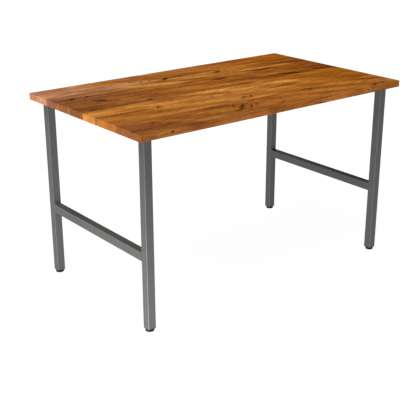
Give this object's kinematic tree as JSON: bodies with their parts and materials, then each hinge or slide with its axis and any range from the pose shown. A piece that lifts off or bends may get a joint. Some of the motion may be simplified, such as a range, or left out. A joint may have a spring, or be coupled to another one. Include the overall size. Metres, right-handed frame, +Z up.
{
  "type": "desk",
  "caption": "Plank-topped work desk on two welded square-tube H-frames, with screw-adjustable levelling feet under the legs.",
  "frame": {"origin": "on the floor, under the middle of the top", "axes": "+X to the desk's right along its width, +Y from the front edge to the rear edge, +Z up"},
  "size_m": [1.25, 0.73, 0.73],
  "materials": {
    "top_wood": "clear satin lacquer over knotty solid wood",
    "frame_coating": "satin gunmetal powder coat",
    "black_nylon": "moulded, slightly textured",
    "zinc_steel": "bright zinc plated"
  },
  "bodies": {
    "desk": {"tabletop_board_1": "top_wood", "tabletop_board_2": "top_wood", "tabletop_board_3": "top_wood", "tabletop_board_4": "top_wood", "tabletop_board_5": "top_wood", "tabletop_board_6": "top_wood", "tabletop_board_7": "top_wood", "left_front_post": "frame_coating", "left_rear_post": "frame_coating", "left_lower_rail": "frame_coating", "left_top_plate": "frame_coating", "left_rail_welds": "frame_coating", "left_plate_welds": "frame_coating", "right_front_post": "frame_coating", "right_rear_post": "frame_coating", "right_lower_rail": "frame_coating", "right_top_plate": "frame_coating", "right_rail_welds": "frame_coating", "right_plate_welds": "frame_coating", "left_top_screws": "zinc_steel", "left_top_washers": "zinc_steel", "right_top_screws": "zinc_steel", "right_top_washers": "zinc_steel", "left_front_tube_plug": "black_nylon", "left_front_insert_nut": "zinc_steel", "left_rear_tube_plug": "black_nylon", "left_rear_insert_nut": "zinc_steel", "right_front_tube_plug": "black_nylon", "right_front_insert_nut": "zinc_steel", "right_rear_tube_plug": "black_nylon", "right_rear_insert_nut": "zinc_steel"},
    "left_front_base": {"left_front_foot_base": "black_nylon"},
    "left_front_screw": {"left_front_foot_stud": "zinc_steel", "left_front_foot_knob": "black_nylon"},
    "left_rear_base": {"left_rear_foot_base": "black_nylon"},
    "left_rear_screw": {"left_rear_foot_stud": "zinc_steel", "left_rear_foot_knob": "black_nylon"},
    "right_front_base": {"right_front_foot_base": "black_nylon"},
    "right_front_screw": {"right_front_foot_stud": "zinc_steel", "right_front_foot_knob": "black_nylon"},
    "right_rear_base": {"right_rear_foot_base": "black_nylon"},
    "right_rear_screw": {"right_rear_foot_stud": "zinc_steel", "right_rear_foot_knob": "black_nylon"}
  },
  "joints": [
    {"name": "left_front_foot_height", "type": "slide", "parent": "desk", "child": "left_front_base", "axis": [0, 0, -1], "range_m": [0, 0.02]},
    {"name": "left_front_screw_turn", "type": "hinge", "parent": "left_front_base", "child": "left_front_screw", "pos_m": [-0.573, -0.314, 0], "axis": [0, 0, -1], "range_deg": [0, 4800]},
    {"name": "left_rear_foot_height", "type": "slide", "parent": "desk", "child": "left_rear_base", "axis": [0, 0, -1], "range_m": [0, 0.02]},
    {"name": "left_rear_screw_turn", "type": "hinge", "parent": "left_rear_base", "child": "left_rear_screw", "pos_m": [-0.573, 0.314, 0], "axis": [0, 0, -1], "range_deg": [0, 4800]},
    {"name": "right_front_foot_height", "type": "slide", "parent": "desk", "child": "right_front_base", "axis": [0, 0, -1], "range_m": [0, 0.02]},
    {"name": "right_front_screw_turn", "type": "hinge", "parent": "right_front_base", "child": "right_front_screw", "pos_m": [0.573, -0.314, 0], "axis": [0, 0, -1], "range_deg": [0, 4800]},
    {"name": "right_rear_foot_height", "type": "slide", "parent": "desk", "child": "right_rear_base", "axis": [0, 0, -1], "range_m": [0, 0.02]},
    {"name": "right_rear_screw_turn", "type": "hinge", "parent": "right_rear_base", "child": "right_rear_screw", "pos_m": [0.573, 0.314, 0], "axis": [0, 0, -1], "range_deg": [0, 4800]}
  ],
  "couplings": [
    {"joint": "left_front_screw_turn", "follows": "left_front_foot_height", "rad_per_m": 4188.8},
    {"joint": "left_rear_screw_turn", "follows": "left_rear_foot_height", "rad_per_m": 4188.8},
    {"joint": "right_front_screw_turn", "follows": "right_front_foot_height", "rad_per_m": 4188.8},
    {"joint": "right_rear_screw_turn", "follows": "right_rear_foot_height", "rad_per_m": 4188.8}
  ]
}
